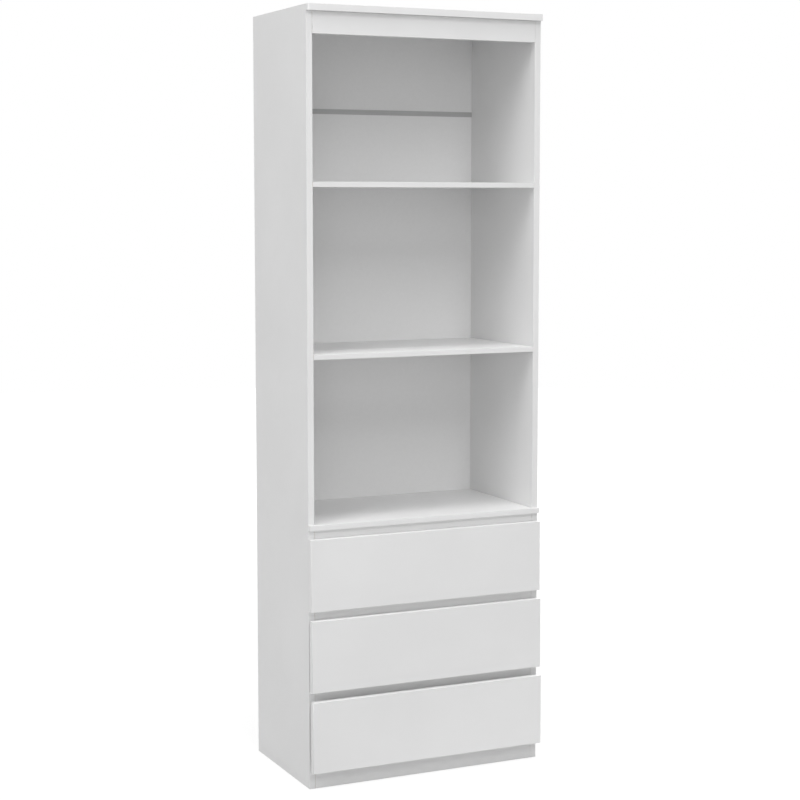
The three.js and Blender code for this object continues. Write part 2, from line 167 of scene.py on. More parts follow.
def toned(finish, value, stops):
    """A colour from noise, by stops of (where, tones)."""
    node = finish.add("ShaderNodeValToRGB")
    while len(node.color_ramp.elements) < len(stops):
        node.color_ramp.elements.new(1.0)
    for element, (where, tones) in zip(node.color_ramp.elements, stops):
        element.position = where
        element.color = colour_of(tones)
    finish.join(value, node.inputs["Fac"])
    return node.outputs["Color"]


def relief(finish, value, height):
    """Raises the surface by noise, height metres from its low to its high places."""
    node = finish.add("ShaderNodeBump")
    node.inputs["Distance"].default_value = height
    finish.join(value, node.inputs["Height"])
    return node.outputs["Normal"]


print("noise is read from", noise_low, "to", noise_high)

# %% [markdown]
# ## Melamine faces
# The boards are chipboard with a white melamine film pressed onto both faces under a textured plate.
# Close up the film has a fine pearl: shallow pits about a millimetre apart, which spread the
# reflection of a lamp into a soft sheen. Across a whole board the white drifts by a hair, because the
# paper under the film does. A plain white with one roughness looks like plastic, so the tone, the
# gloss and the relief each get their own noise.

# %% White melamine
board_tones = [(0.38, grey(0.893)), (0.62, grey(0.905))]


def melamine_face():
    film = Finish("melamine_face")
    drift = grain(film, size=0.28, detail=3)
    pearl = grain(film, size=1.1 * mm, detail=1)
    pressing = grain(film, size=14 * mm, detail=2)
    return film.set(
        Base_Color=toned(film, drift, board_tones),
        Roughness=ranged(film, pressing, low=0.42, high=0.5),
        Normal=relief(film, pearl, height=0.02 * mm),
    )


face_white = melamine_face()
print("made", face_white.name)

# %% [markdown]
# ## Edge bands
# Where an edge shows, a strip of white plastic under a millimetre thick is glued over the raw board.
# It is pulled off a roll, so its marks all run one way, and it comes out a touch glossier than the
# film beside it. It could be a thin strip of mesh, but its own thickness never shows. A finish with
# streaks along the edge does the same, and there is one for each of the three directions. The streaks
# are common noise whose place is drawn out along that axis.

# %% White edge bands
axes = "xyz"


def stretched(finish, along, times):
    """The texture's place, drawn out along one axis, as grain and scratches are."""
    mapping = finish.add("ShaderNodeMapping")
    mapping.inputs["Scale"].default_value[axes.index(along)] = 1 / times
    finish.join(finish.place, mapping.inputs["Vector"])
    return mapping.outputs["Vector"]


def edge_band(along):
    band = Finish("edge_band_" + along)
    streaks = grain(band, size=0.9 * mm, detail=2, place=stretched(band, along, times=90))
    drift = grain(band, size=0.2, detail=2)
    return band.set(
        Base_Color=toned(band, drift, board_tones),
        Roughness=ranged(band, streaks, low=0.34, high=0.44),
        Normal=relief(band, streaks, height=0.008 * mm),
    )


bands = [edge_band(along) for along in axes]
print("made", [band.name for band in bands])

# %% [markdown]
# ## Raw chipboard
# Edges that nobody sees are left bare, as on any flat-pack board: the rear edges, the floor edges and
# what a groove or a bore cuts open. Chipboard is pressed from shavings of a millimetre or two, each a
# slightly different tan. Soft noise would blur them together. A cell texture has hard borders and one
# random tone in each cell, so drawn out a little its cells pass for chips, and fine noise gives the
# pits. Too much contrast would look like camouflage cloth.

# %% Chipboard core
chip_size = 1.5 * mm
chip_tones = [
    (0.0, (0.64, 0.54, 0.41)),
    (0.3, (0.73, 0.63, 0.49)),
    (1.0, (0.80, 0.71, 0.57)),
]


def chipboard():
    core = Finish("chipboard_core")
    chips = core.add("ShaderNodeTexVoronoi")
    chips.inputs["Scale"].default_value = 1 / chip_size
    core.join(stretched(core, "z", times=1.6), chips.inputs["Vector"])
    split = core.add("ShaderNodeSeparateColor")
    core.join(chips.outputs["Color"], split.inputs["Color"])
    pits = grain(core, size=0.7 * mm, detail=3)
    return core.set(
        Base_Color=toned(core, split.outputs["Red"], chip_tones),
        Roughness=ranged(core, pits, low=0.8, high=0.95),
        Normal=relief(core, pits, height=0.25 * mm),
    )


core_brown = chipboard()
print("made", core_brown.name)

# %% [markdown]
# ## Dowels
# The glued beech dowels sit in their bores and hardly ever show. They still get wood: pale, with
# short darker flecks along their length. All of them lie along X, so the same soft noise as
# elsewhere, drawn out along X, is enough and needs no picture of wood.

# %% Beech
beech_tones = [(noise_low, (0.74, 0.58, 0.42)), (noise_high, (0.86, 0.74, 0.59))]


def beech():
    wood = Finish("beech_dowel")
    flecks = grain(wood, size=0.8 * mm, detail=3, place=stretched(wood, "x", times=8))
    return wood.set(
        Base_Color=toned(wood, flecks, beech_tones),
        Roughness=0.7,
        Normal=relief(wood, flecks, height=0.05 * mm),
    )


dowel_wood = beech()
print("made", dowel_wood.name)

# %% [markdown]
# ## Lacquered hardboard
# The back and the drawer bottoms are 3 mm fibreboard with a thin white lacquer. The lacquer is
# flatter than melamine, and the felted fibres under it still print through as a faint mottle. One
# noise could drive everything, but mottle and fibres differ tenfold in size. So a coarse noise moves
# tone and gloss together, as both follow how thick the lacquer lies, and a fine one raises the fibres.

# %% White hardboard
lacquer_tones = [(0.3, grey(0.902)), (0.7, grey(0.910))]


def hardboard():
    sheet = Finish("lacquered_hardboard")
    mottle = grain(sheet, size=9 * mm, detail=5)
    fibres = grain(sheet, size=0.8 * mm, detail=4)
    return sheet.set(
        Base_Color=toned(sheet, mottle, lacquer_tones),
        Roughness=ranged(sheet, mottle, low=0.55, high=0.66),
        Normal=relief(sheet, fibres, height=0.02 * mm),
    )


hardboard_white = hardboard()
print("made", hardboard_white.name)

# %% [markdown]
# ## Powder-coated steel
# The runners are folded from sheet steel and baked with a white powder, which melts and flows into
# the well-known orange peel: low waves about two millimetres apart. Under white paint no metal shows,
# so a metallic shader would be wrong. This is a glossy white whose waves do more than its tone. The
# tone only tells where a film of dust has settled.

# %% Coated steel
coat_tones = [(0.4, (0.868, 0.868, 0.862)), (0.62, (0.895, 0.895, 0.89))]


def powder_coat():
    coat = Finish("powder_coated_steel")
    peel = grain(coat, size=2.2 * mm, detail=1)
    dust = grain(coat, size=0.06, detail=4)
    return coat.set(
        Base_Color=toned(coat, dust, coat_tones),
        Roughness=ranged(coat, peel, low=0.28, high=0.38),
        Normal=relief(coat, peel, height=0.03 * mm),
    )


steel_white = powder_coat()
print("made", steel_white.name)

# %% [markdown]
# ## Nylon
# The rollers are moulded nylon. It is a little waxy: light goes a short way in and comes out beside
# where it went in, which takes the hardness out of the shadows on so small a piece. A lighter colour
# would only make the whole roller paler. The subsurface share softens just the shadows, and it stays
# low because the nylon is nearly white.

# %% Moulded nylon
nylon_tones = [(noise_low, (0.88, 0.88, 0.86)), (noise_high, (0.92, 0.92, 0.905))]


def nylon():
    mould = Finish("moulded_nylon")
    cloud = grain(mould, size=6 * mm, detail=2)
    sparks = grain(mould, size=0.35 * mm, detail=1)
    return mould.set(
        Base_Color=toned(mould, cloud, nylon_tones),
        Roughness=ranged(mould, cloud, low=0.4, high=0.5),
        Subsurface_Weight=0.15,
        Subsurface_Scale=1.5 * mm,
        Normal=relief(mould, sparks, height=0.01 * mm),
    )


nylon_white = nylon()
print("made", nylon_white.name)

# %% [markdown]
# ## The grey strip
# The strip that joins the two upper back sheets is extruded plastic. It is pressed through a die, so
# faint lines run its whole length. They could be cut into the mesh, but they are finer than a hair.
# Noise drawn out far along X gives them, in tone, gloss and relief at once, because each line is one
# shallow scratch.

# %% Strip plastic
strip_tones = [(noise_low, grey(0.685)), (noise_high, grey(0.715))]


def strip_plastic():
    strip = Finish("grey_strip_plastic")
    lines = grain(strip, size=0.6 * mm, detail=2, place=stretched(strip, "x", times=120))
    return strip.set(
        Base_Color=toned(strip, lines, strip_tones),
        Roughness=ranged(strip, lines, low=0.42, high=0.52),
        Normal=relief(strip, lines, height=0.02 * mm),
    )


strip_grey = strip_plastic()
print("made", strip_grey.name)

# %% [markdown]
# ## Zinc
# Screws, pins, cams and axles are zinc-plated: a bright bluish grey. They are plated in a drum and
# rub against each other there, so the gloss varies more than the tone does. A plain grey would look
# like paint. Bare metal has all its colour in the reflection, hence the full metallic value.

# %% Zinc plate
zinc_tones = [(noise_low, (0.66, 0.67, 0.69)), (noise_high, (0.78, 0.79, 0.80))]


def zinc():
    plate = Finish("zinc_plate")
    rubs = grain(plate, size=1.4 * mm, detail=4)
    return plate.set(
        Base_Color=toned(plate, rubs, zinc_tones),
        Metallic=1.0,
        Roughness=ranged(plate, rubs, low=0.28, high=0.48),
        Normal=relief(plate, rubs, height=0.01 * mm),
    )


zinc_plate = zinc()
print("made", zinc_plate.name)

# %% [markdown]
# ## Which face gets which finish
# A board has two broad faces, edges that are banded or bare, and cut faces inside its grooves and
# bores. They could be picked by hand in edit mode, but each changed board would need it again. A few
# questions find the same: the thinnest side of the board's box says which faces are broad, the way
# that a polygon looks says which edge it is on, and how deep it lies under the skin says whether a
# saw or a drill made it. Dowels are one solid with their board. They are known by where they lie,
# behind the front of the carcass and further out than the inner face of a side panel.

# %% Choose the finish of one polygon
skin = 1.2 * mm
flat_share = 0.99
eased_share = 0.2
carcass_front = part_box("top_fascia")[0].y
between_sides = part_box("right_side_panel")[0].x


def finish_of(polygon, low, high, thin, banded, dowelled):
    """The finish for one polygon of a board with that box, which is thin along that axis."""
    centre = polygon.center
    normal = polygon.normal
    depths = [min(centre[i] - low[i], high[i] - centre[i]) for i in range(3)]
    edge = max((i for i in range(3) if i != thin), key=lambda i: abs(normal[i]))
    way = ("-" if normal[edge] < 0 else "+") + axes[edge]
    if abs(normal[thin]) > flat_share and depths[thin] < skin:
        return face_white
    if dowelled and abs(centre.x) > between_sides and centre.y > carcass_front:
        return dowel_wood
    if min(depths) > skin:
        return core_brown
    if way in banded:
        # The three axes add up to 3, so this is the one left over: the way that the edge runs.
        return bands[3 - thin - edge]
    return face_white if abs(normal[thin]) > eased_share else core_brown


print("room between the side panels in mm:", round(2 * between_sides / mm, 1))

# %% [markdown]
# ## Side panels
# They stand on the floor and run the full height, with every other board between them. A band costs
# money, so it goes only where it shows: on the front edge and on top. The mesh stays as it is, and
# only the finish of each polygon is set. Cutting a board into one object for each finish would look
# the same, but it would no longer be one board.

# %% Dress the side panels
board_finishes = (face_white, *bands, core_brown, dowel_wood)


def lay_finishes(name, *finishes):
    """Gives a piece these finishes in place of its own. The first one covers all of it."""
    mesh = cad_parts[name].data
    mesh.materials.clear()
    for finish in finishes:
        mesh.materials.append(finish)
    return mesh


def dress_board(name, banded, dowelled=False):
    """Film on a board's broad faces, bands on the edges named in banded, and the rest left bare."""
    low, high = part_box(name)
    thin = min(range(3), key=lambda i: (high - low)[i])
    for polygon in lay_finishes(name, *board_finishes).polygons:
        finish = finish_of(polygon, low, high, thin, banded, dowelled)
        polygon.material_index = board_finishes.index(finish)


def pieces_with(finish):
    return [name for name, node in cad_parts.items() if finish.name in node.data.materials]


for name in ("left_side_panel", "right_side_panel"):
    dress_board(name, banded=["-y", "+z"])
print("boards dressed:", pieces_with(core_brown))

# %% [markdown]
# ## Boards between the sides
# The top and the deck reach past the side panels with a lip, whose two ends show as well as its
# front. The shelves and the bottom show their front edge only. The rails behind the finger gaps are
# banded below and above, where a hand reaches in, and the plinths have no band. All of them have
# dowels in their ends. Each group of like boards is one loop, which reads like a cutting list and is
# quicker to change than settings kept for each board.

# %% Dress the boards between the sides
for name in ("top_panel", "deck_panel"):
    dress_board(name, banded=["-y", "-x", "+x"], dowelled=True)
for name in ("upper_shelf", "lower_shelf", "bottom_panel"):
    dress_board(name, banded=["-y"], dowelled=True)
dress_board("top_fascia", banded=["-z"], dowelled=True)
for name in ("upper_gap_rail", "middle_gap_rail", "lower_gap_rail"):
    dress_board(name, banded=["-z", "+z"], dowelled=True)
for name in ("front_plinth", "rear_plinth"):
    dress_board(name, banded=[], dowelled=True)
print("boards dressed so far:", len(pieces_with(core_brown)))

# %% [markdown]
# ## Drawers
# All four edges of a drawer front show once the drawer is open, so it is banded all round. The box
# behind it shows its top edges only. Each of the twelve boards could have a line of its own. The
# three drawers are alike, though, so a loop dresses them and keeps them alike.

# %% Dress the drawers
drawer_names = ("upper", "middle", "lower")
for drawer in drawer_names:
    dress_board(f"{drawer}_drawer_front", banded=["-x", "+x", "-z", "+z"])
    dress_board(f"{drawer}_drawer_back", banded=["+z"])
    for hand in ("left", "right"):
        dress_board(f"{drawer}_drawer_{hand}_side", banded=["+z"])
print("boards dressed in all:", len(pieces_with(core_brown)))

# %% [markdown]
# ## Sheets, strip and rollers
# The back and the drawer bottoms are hardboard, the strip between two of the sheets is grey plastic,
# and the rollers are nylon. Each is one material through and through, so it has one finish all over.
# They could be listed one by one. The pieces are named for what they are, though, and the end of a
# name is enough to find all of a kind.

# %% Dress the sheets, the strip and the rollers
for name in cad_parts:
    if name.endswith(("back_panel", "drawer_bottom")):
        lay_finishes(name, hardboard_white)
    if name.endswith("roller"):
        lay_finishes(name, nylon_white)
lay_finishes("back_joint_strip", strip_grey)
print("sheets:", len(pieces_with(hardboard_white)), "rollers:", len(pieces_with(nylon_white)))

# %% [markdown]
# ## Runners
# A runner has two finishes. Its folded sheet is powder-coated before the axle is riveted in, so the
# axle and its head stay bare zinc plate. The two are one solid and could be told apart by picking
# faces. It is surer to measure: the axle's polygons are those close round the middle of the roller
# that turns on it.

# %% Dress the runners
runner_finishes = (steel_white, zinc_plate)
axle_reach = 5 * mm
head_stand = 1.4 * mm


def dress_runner(name):
    low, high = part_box(name.replace("runner", "roller"))
    middle = (low + high) / 2
    for polygon in lay_finishes(name, *runner_finishes).polygons:
        offset = polygon.center - middle
        beside = abs(offset.x) < (high.x - low.x) / 2 + head_stand
        if beside and math.hypot(offset.y, offset.z) < axle_reach:
            polygon.material_index = runner_finishes.index(zinc_plate)


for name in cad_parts:
    if name.endswith("runner"):
        dress_runner(name)
print("runners:", len(pieces_with(steel_white)))

# %% [markdown]
# ## Soft edges without more faces
# The boards have a small rounding on every edge, made of two flats, and the rollers are turned in
# eighteen. A bevel on top would add thousands of faces for no gain. Smooth shading is enough, as long
# as true corners stay sharp. A short tree of geometry nodes does this in four steps. It drops the
# stored normals, which would overrule any shading, merges the loose corners, smooths everything, and
# takes the smoothing off the edges that turn by more than the sharp angle.

# %% A node tree that shades by angle
sharp_angle = math.radians(50)
merge_reach = 0.001 * mm
shading_steps = [
    ("GeometryNodeRemoveAttribute", "Name", "custom_normal"),
    ("GeometryNodeMergeByDistance", "Distance", merge_reach),
    ("GeometryNodeSetShadeSmooth", "Shade Smooth", True),
    ("GeometryNodeSetShadeSmooth", "Shade Smooth", False),
]


def sharp_edges(tree):
    """True for each edge that turns by more than the sharp angle."""
    angle = tree.nodes.new("GeometryNodeInputMeshEdgeAngle")
    sharp = tree.nodes.new("FunctionNodeCompare")
    sharp.operation = "GREATER_THAN"
    sharp.inputs["B"].default_value = sharp_angle
    tree.links.new(angle.outputs["Unsigned Angle"], sharp.inputs["A"])
    return sharp.outputs["Result"]


def shading_tree():
    tree = bpy.data.node_groups.new("merge_and_shade", "GeometryNodeTree")
    for way in ("INPUT", "OUTPUT"):
        tree.interface.new_socket("Geometry", in_out=way, socket_type="NodeSocketGeometry")
    shape = tree.nodes.new("NodeGroupInput").outputs["Geometry"]
    for kind, entry, value in shading_steps:
        step = tree.nodes.new(kind)
        step.inputs[entry].default_value = value
        tree.links.new(shape, step.inputs["Geometry"])
        shape = step.outputs["Geometry"]
    # Only the last step looks at edges, and only at the sharp ones.
    step.domain = "EDGE"
    tree.links.new(sharp_edges(tree), step.inputs["Selection"])
    tree.links.new(shape, tree.nodes.new("NodeGroupOutput").inputs["Geometry"])
    return tree


shade_by_angle = shading_tree()
print("nodes in the shading tree:", len(shade_by_angle.nodes))

# %% [markdown]
# ## Shade every piece
# Smooth shading alone would make a broad board face look pillowed near its rounded edges, because
# each corner's normal is a mean of the faces round it. Weighted normals let the largest face win, so
# the board stays flat and only the rounding turns the light. Both are modifiers, which leave the mesh
# of the construction untouched.

# %% Shade the pieces of the frame
most_weight = 100


def shade(piece):
    piece.modifiers.new("merge_and_shade", "NODES").node_group = shade_by_angle


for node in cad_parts.values():
    shade(node)
    flatten = node.modifiers.new("flat_faces", "WEIGHTED_NORMAL")
    flatten.keep_sharp = True
    flatten.weight = most_weight
print("shaded by angle:", len(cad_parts), "pieces")

# %% [markdown]
# ## Small fasteners
# Cam locks, screws and pins hold the boards together, and they are what you see when a drawer is
# pulled out or the bookcase is turned round. All of them are round. Stacked cylinders would be one
# way, but they meet inside the metal and leave hidden faces. Here each one is turned from a short
# profile, as on a lathe, and comes out as one closed body. Profiles are in millimetres, as on a
# workshop drawing.

# %% Turn a part
turning_steps = 28


def turned_ring(body, radius, height):
    """The corners of a ring at that height, or the one corner that it has on the axis."""
    steps = turning_steps if radius else 1
    angles = [2 * math.pi * i / steps for i in range(steps)]
    points = [(radius * math.cos(a), radius * math.sin(a), height) for a in angles]
    return [body.verts.new(point) for point in points]


def turned(profile):
    """A closed body turned round Z, from (radius, height) pairs that start and end on the axis."""
    body = bmesh.new()
    rings = [turned_ring(body, radius * mm, height * mm) for radius, height in profile]
    for lower, upper in zip(rings, rings[1:]):
        for i in range(turning_steps):
            places = ((lower, i), (lower, i + 1), (upper, i + 1), (upper, i))
            corners = [ring[k % len(ring)] for ring, k in places]
            # On the axis two of the four corners are the same, and dict.fromkeys drops one.
            body.faces.new(list(dict.fromkeys(corners)))
    bmesh.ops.recalc_face_normals(body, faces=body.faces)
    return body


print("corners round a turned part:", turning_steps)

# %% [markdown]
# ## The driver's cross
# A cross could be painted on with a dark line, but a glance along the head would give it away. The
# punch leaves two crossed wedges that narrow downwards, as the tip of a driver does. Each wedge starts
# as a cube whose lower corners are drawn in.

# %% A cutter for the cross
quarter_turn = math.pi / 2
tip_reach_share = 0.35
tip_width_share = 0.6


def cross_cutter(reach, width, depth, top):
    """Two crossed wedges that narrow downwards from the level top, all in millimetres."""
    cutter = bmesh.new()
    for turn in (0, quarter_turn):
        bar = bmesh.ops.create_cube(cutter, size=1)["verts"]
        for vert in bar:
            # The cube's corners lie half a unit out, so 2 * x is -1 or 1 and z - 0.5 is 0 or -1.
            x, y, z = vert.co
            at_tip = z < 0
            long = reach * tip_reach_share if at_tip else reach
            wide = width * tip_width_share if at_tip else width
            vert.co = (2 * x * long * mm, y * wide * mm, (top + (z - 0.5) * depth) * mm)
        bmesh.ops.rotate(cutter, verts=bar, matrix=Matrix.Rotation(turn, 3, "Z"))
    return cutter


print("the tip keeps", tip_reach_share, "of a wedge's reach and", tip_width_share, "of its width")

# %% [markdown]
# ## Cutting the cross
# The recess could be built face by face round the cross. A Boolean does it in one step: the wedges
# are taken out of the head, so that the recess is real and holds its own shadow. The modifier needs
# two objects in the scene, so both are put there for a moment, and only the result is kept.

# %% Cut one body out of another
def as_mesh(name, shape):
    """The shape as a mesh of that name. The shape itself is let go."""
    mesh = bpy.data.meshes.new(name)
    shape.to_mesh(mesh)
    shape.free()
    return mesh


def add_object(name, data):
    made = bpy.data.objects.new(name, data)
    bpy.context.scene.collection.objects.link(made)
    return made


def cut(name, body, cutter):
    """The body less the cutter, as a mesh of that name."""
    blank = add_object("blank", as_mesh("blank", body))
    tool = add_object("cutter", as_mesh("cutter", cutter))
    difference = blank.modifiers.new("recess", "BOOLEAN")
    difference.operation = "DIFFERENCE"
    difference.use_self = True
    difference.object = tool
    evaluated = blank.evaluated_get(bpy.context.evaluated_depsgraph_get())
    result = bpy.data.meshes.new_from_object(evaluated)
    result.name = name
    for used in (blank, tool):
        bpy.data.objects.remove(used)
    return result


# %% [markdown]
# ## A cam lock
# A cam lock is a zinc disc sunk into a pocket of the board. Its hook grips the head of a bolt and
# pulls two boards together. From outside you see a ring round the edge, a lower floor, and a hub with
# the cross that turns it. The hook could be modelled too, but it is out of sight in the pocket, so
# below the ring the disc is a plain cylinder.

# %% Turn a cam lock
cam_radius = 7.1
cam_depth = 8.6
cam_profile = [
    (0, -cam_depth),
    (cam_radius, -cam_depth),
    (cam_radius, -0.7),
    (cam_radius - 0.4, -0.3),
    (cam_radius - 1.3, -0.3),
    (cam_radius - 1.6, -0.9),
    (3.6, -0.9),
    (3.4, -0.4),
    (0, -0.4),
]
cam_cross = cross_cutter(reach=2.8, width=1.1, depth=3, top=0.1)
cam_lock = cut("cam_lock", turned(cam_profile), cam_cross)
print("faces of a cam lock:", len(cam_lock.polygons))

# %% [markdown]
# ## Setting out
# A fitter marks where the fasteners go and then drives them all. Each could be an object of its own,
# but the bookcase has over a hundred. Fasteners of one kind on one body become one object instead, so
# that they ride together. Each copy is turned by its own angle, because nobody stops a driver at the
# same quarter every time.

# %% Set copies in place
turn_step = math.radians(37)


def set_out(name, mesh, places, body):
    """Copies of mesh at places, given as (point, way that it looks), in one object on that body."""
    joined = bmesh.new()
    for i, (point, way) in enumerate(places):
        before = len(joined.verts)
        joined.from_mesh(mesh)
        joined.verts.ensure_lookup_table()
        lean = Vector(way).to_track_quat("Z", "Y").to_matrix().to_4x4()
        pose = Matrix.Translation(point) @ lean @ Matrix.Rotation(i * turn_step, 4, "Z")
        bmesh.ops.transform(joined, matrix=pose, verts=joined.verts[before:])
    made = as_mesh(name, joined)
    made.materials.append(zinc_plate)
    piece = add_object(name, made)
    shade(piece)
    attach(piece, body)
    print(name, len(places), "on", body)


print("degrees from one copy to the next:", round(math.degrees(turn_step)))

# %% [markdown]
# ## Cam locks in the carcass
# Every pocket in the boards gets its cam. Lying boards have them in the underside, out of sight, and
# the rails and the plinths on the face that looks into the bookcase. Copying the places from a
# drawing would work until a board changes, so they follow from the boards' own boxes and the same
# set-backs as the pockets. A board ends a narrow seam short of the side panel.

# %% Cams of the carcass
seam = 0.3 * mm
cam_set_back = 24 * mm
cam_from_edge = 82 * mm
cam_x = between_sides - seam - cam_set_back
board_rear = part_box("upper_shelf")[1].y


def between(low, high, share):
    return low + share * (high - low)


def cams_under(name):
    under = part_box(name)[0].z
    rows = (carcass_front + cam_from_edge, board_rear - cam_from_edge)
    return [((x, y, under), (0, 0, -1)) for y in rows for x in (-cam_x, cam_x)]


def cams_in_rail(name, y, way):
    low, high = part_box(name)
    return [((x, y, between(low.z, high.z, 0.5)), (0, way, 0)) for x in (-cam_x, cam_x)]


carcass_cams = []
for name in ("top_panel", "upper_shelf", "lower_shelf", "deck_panel", "bottom_panel"):
    carcass_cams += cams_under(name)
for name in ("top_fascia", "upper_gap_rail", "middle_gap_rail", "lower_gap_rail", "front_plinth"):
    carcass_cams += cams_in_rail(name, y=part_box(name)[1].y, way=1)
carcass_cams += cams_in_rail("rear_plinth", y=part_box("rear_plinth")[0].y, way=-1)
set_out("carcass_cams", cam_lock, carcass_cams, "carcass")

# %% [markdown]
# ## Cam locks in the drawers
# The sides of a drawer box have their cams right behind the front, on the inner face, where you see
# them as soon as the drawer is open. A left and a right side mirror each other. Two lists would be
# easy to get out of step, so one loop over the two hands places both, with the sign of X.

# %% Cams of the drawers
hands = (("left", -1), ("right", 1))
cam_height_shares = (0.3, 0.78)


def cams_in_drawer(drawer):
    places = []
    for hand, side in hands:
        low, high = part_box(f"{drawer}_drawer_{hand}_side")
        x = high.x if side < 0 else low.x
        for share in cam_height_shares:
            point = (x, low.y + cam_set_back, between(low.z, high.z, share))
            places.append((point, (-side, 0, 0)))
    return places


for drawer in drawer_names:
    set_out(f"{drawer}_drawer_cams", cam_lock, cams_in_drawer(drawer), f"{drawer}_drawer")

# %% [markdown]
# ## Screws
# The screws differ in their heads. The foot and the box take a domed pan head. In the channel the
# drawer's roller runs past with less than a millimetre to spare, so there the head is a thin wafer.
# A thread could be wound round each shank, but it is in the board where nobody sees it, so the shank
# is plain. The two kinds share one function that takes the head.

# %% Turn two screws
shank_radius = 1.5
shank_length = 4
head_radius = 3.4
pan_head = [(head_radius, 0.7), (3.0, 1.4), (2.0, 1.9), (0, 2.1)]
wafer_head = [(head_radius, 0.25), (2.9, 0.6), (0, 0.7)]


def screw(name, head, recess_top):
    """A screw with that head, drawn from its rim to the axis."""
    shank = [(0, -shank_length), (shank_radius, -shank_length), (shank_radius, 0), (head_radius, 0)]
    recess = cross_cutter(reach=1.7, width=0.8, depth=1.5, top=recess_top)
    return cut(name, turned([*shank, *head]), recess)


pan_screw = screw("pan_screw", pan_head, recess_top=2.3)
wafer_screw = screw("wafer_screw", wafer_head, recess_top=0.9)
print("faces of the screws:", len(pan_screw.polygons), len(wafer_screw.polygons))

# %% [markdown]
# ## Screws in the runners
# Three screws go through the slots of each channel into the side panel, and three go up through the
# foot of each rail into the drawer's side. The slots could be searched for in the mesh. It is simpler
# to use the same shares of the runner's length by which they were cut, counted on the runner's box.

# %% Where the runner screws sit
screw_shares = (0.2, 0.55, 0.92)
channel_sheet = 1.2 * mm


def channel_screws(drawer):
    places = []
    for hand, side in hands:
        low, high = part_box(f"{drawer}_{hand}_cabinet_runner")
        x = side * (max(abs(low.x), abs(high.x)) - channel_sheet)
        for share in screw_shares:
            point = (x, between(low.y, high.y, share), between(low.z, high.z, 0.5))
            places.append((point, (-side, 0, 0)))
    return places


def foot_screws(drawer):
    places = []
    for hand, side in hands:
        low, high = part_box(f"{drawer}_{hand}_drawer_runner")
        board_low, board_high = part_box(f"{drawer}_drawer_{hand}_side")
        x = between(board_low.x, board_high.x, 0.5)
        for share in screw_shares:
            places.append(((x, between(low.y, high.y, share), low.z), (0, 0, -1)))
    return places


print("for each drawer:", len(channel_screws("upper")), "screws in its channels")
print("for each drawer:", len(foot_screws("upper")), "screws in its feet")

# %% [markdown]
# ## Screws in the boxes
# Two more on each side hold the back of a drawer box, driven from outside into its end. They could be
# measured from the drawer, but what they must hit is the back, so they sit at the middle of its
# thickness and at shares of its height.

# %% Where the box screws sit
box_screw_shares = (0.3, 0.75)


def box_screws(drawer):
    places = []
    back_low, back_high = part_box(f"{drawer}_drawer_back")
    y = between(back_low.y, back_high.y, 0.5)
    for hand, side in hands:
        low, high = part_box(f"{drawer}_drawer_{hand}_side")
        x = low.x if side < 0 else high.x
        for share in box_screw_shares:
            places.append(((x, y, between(back_low.z, back_high.z, share)), (side, 0, 0)))
    return places


print("for each drawer:", len(box_screws("upper")), "screws in its box")

# %% [markdown]
# ## Driving the screws
# What screws into a side panel stays with the carcass, and the rest rides on its drawer. If all of
# them hung on the carcass, a drawer that slides out would leave its own screws behind.

# %% Drive the screws
for drawer in drawer_names:
    set_out(f"{drawer}_channel_screws", wafer_screw, channel_screws(drawer), "carcass")
    set_out(f"{drawer}_foot_screws", pan_screw, foot_screws(drawer), f"{drawer}_drawer")
    set_out(f"{drawer}_box_screws", pan_screw, box_screws(drawer), f"{drawer}_drawer")

# %% [markdown]
# ## A pin for the back
# The pins that fix the back have small flat heads and no recess, because they are driven with a
# hammer. A flat disc would do from afar, but the sloped rim of a real head catches a line of light, so
# the pin is turned like the screws.

# %% Turn a pin
pin_length = 2.8
pin_radius = 0.7
pin_head_radius = 1.9
pin_profile = [
    (0, -pin_length),
    (pin_radius, -pin_length),
    (pin_radius, 0.05),
    (pin_head_radius, 0.05),
    (pin_head_radius, 0.3),
    (pin_head_radius - 0.4, 0.55),
    (0, 0.6),
]
back_pin = as_mesh("back_pin", turned(pin_profile))
print("faces of a pin:", len(back_pin.polygons))

# %% [markdown]
# ## Pins in the back
# Grooves hold the back at its edges. Behind each board that it passes, a row of pins keeps the sheets
# from bowing. Two sheets meet behind the deck, so each has its own row there, just above and just
# below the joint. The heights could be typed in, but they follow from the boards, so that every pin
# has wood behind the sheet.

# %% Rows of pins
pin_count = 5
pin_reach = 240 * mm
joint_offset = 3.3 * mm
back_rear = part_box("lower_back_panel")[1].y


def pin_row(z):
    shares = [i / (pin_count - 1) for i in range(pin_count)]
    return [((between(-pin_reach, pin_reach, share), back_rear, z), (0, 1, 0)) for share in shares]


def middle_of(name):
    low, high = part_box(name)
    return between(low.z, high.z, 0.5)


pin_levels = [middle_of(name) for name in ("upper_shelf", "lower_shelf", "bottom_panel", "rear_plinth")]
pin_levels += [middle_of("deck_panel") + offset for offset in (-joint_offset, joint_offset)]
set_out("back_pins", back_pin, [place for z in pin_levels for place in pin_row(z)], "carcass")

# %% [markdown]
# ## A backdrop that looks white
# In a white studio the backdrop should look white, yet the light on the piece should stay soft and
# plain. A stronger backdrop would flood the bookcase. The way out is to ask each ray where it comes
# from: rays from the camera, off gloss or through glass find pure white, and all others find the
# real brightness. The floor and the sky below both use this.

# %% Rays that see the backdrop
def seen_directly(tree):
    """1 for rays from the camera, off gloss or through glass, else 0."""
    path = tree.nodes.new("ShaderNodeLightPath")
    total = path.outputs["Is Camera Ray"]
    for kind in ("Is Glossy Ray", "Is Transmission Ray"):
        add = tree.nodes.new("ShaderNodeMath")
        add.operation = "ADD"
        add.use_clamp = True
        tree.links.new(total, add.inputs[0])
        tree.links.new(path.outputs[kind], add.inputs[1])
        total = add.outputs["Value"]
    return total


